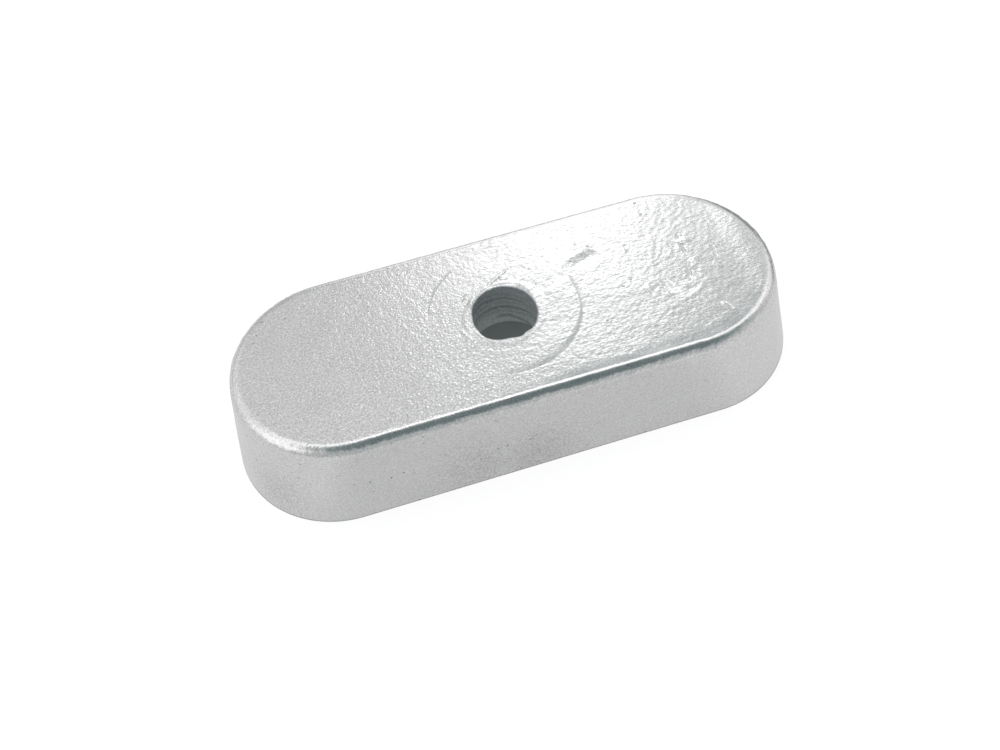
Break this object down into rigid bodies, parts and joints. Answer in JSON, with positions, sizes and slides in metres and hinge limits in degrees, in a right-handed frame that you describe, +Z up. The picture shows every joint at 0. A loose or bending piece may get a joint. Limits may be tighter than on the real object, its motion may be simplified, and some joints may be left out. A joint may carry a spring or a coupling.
{
  "type": "sacrificial anode",
  "caption": "Cast zinc bar anode with drafted sides, round ends, a flat washer pad and a central bolt hole that opens into a pocket underneath.",
  "frame": {"origin": "centre of the flat underside, where the bolt hole's axis meets it", "axes": "+X along the length, +Y across the width, +Z up the bolt hole's axis, out of the cast top face"},
  "size_m": [0.075, 0.031, 0.0127],
  "materials": {
    "cast_zinc": "as-cast, fine grained, satin"
  },
  "bodies": {
    "root": {"zinc_casting": "cast_zinc"}
  },
  "joints": []
}
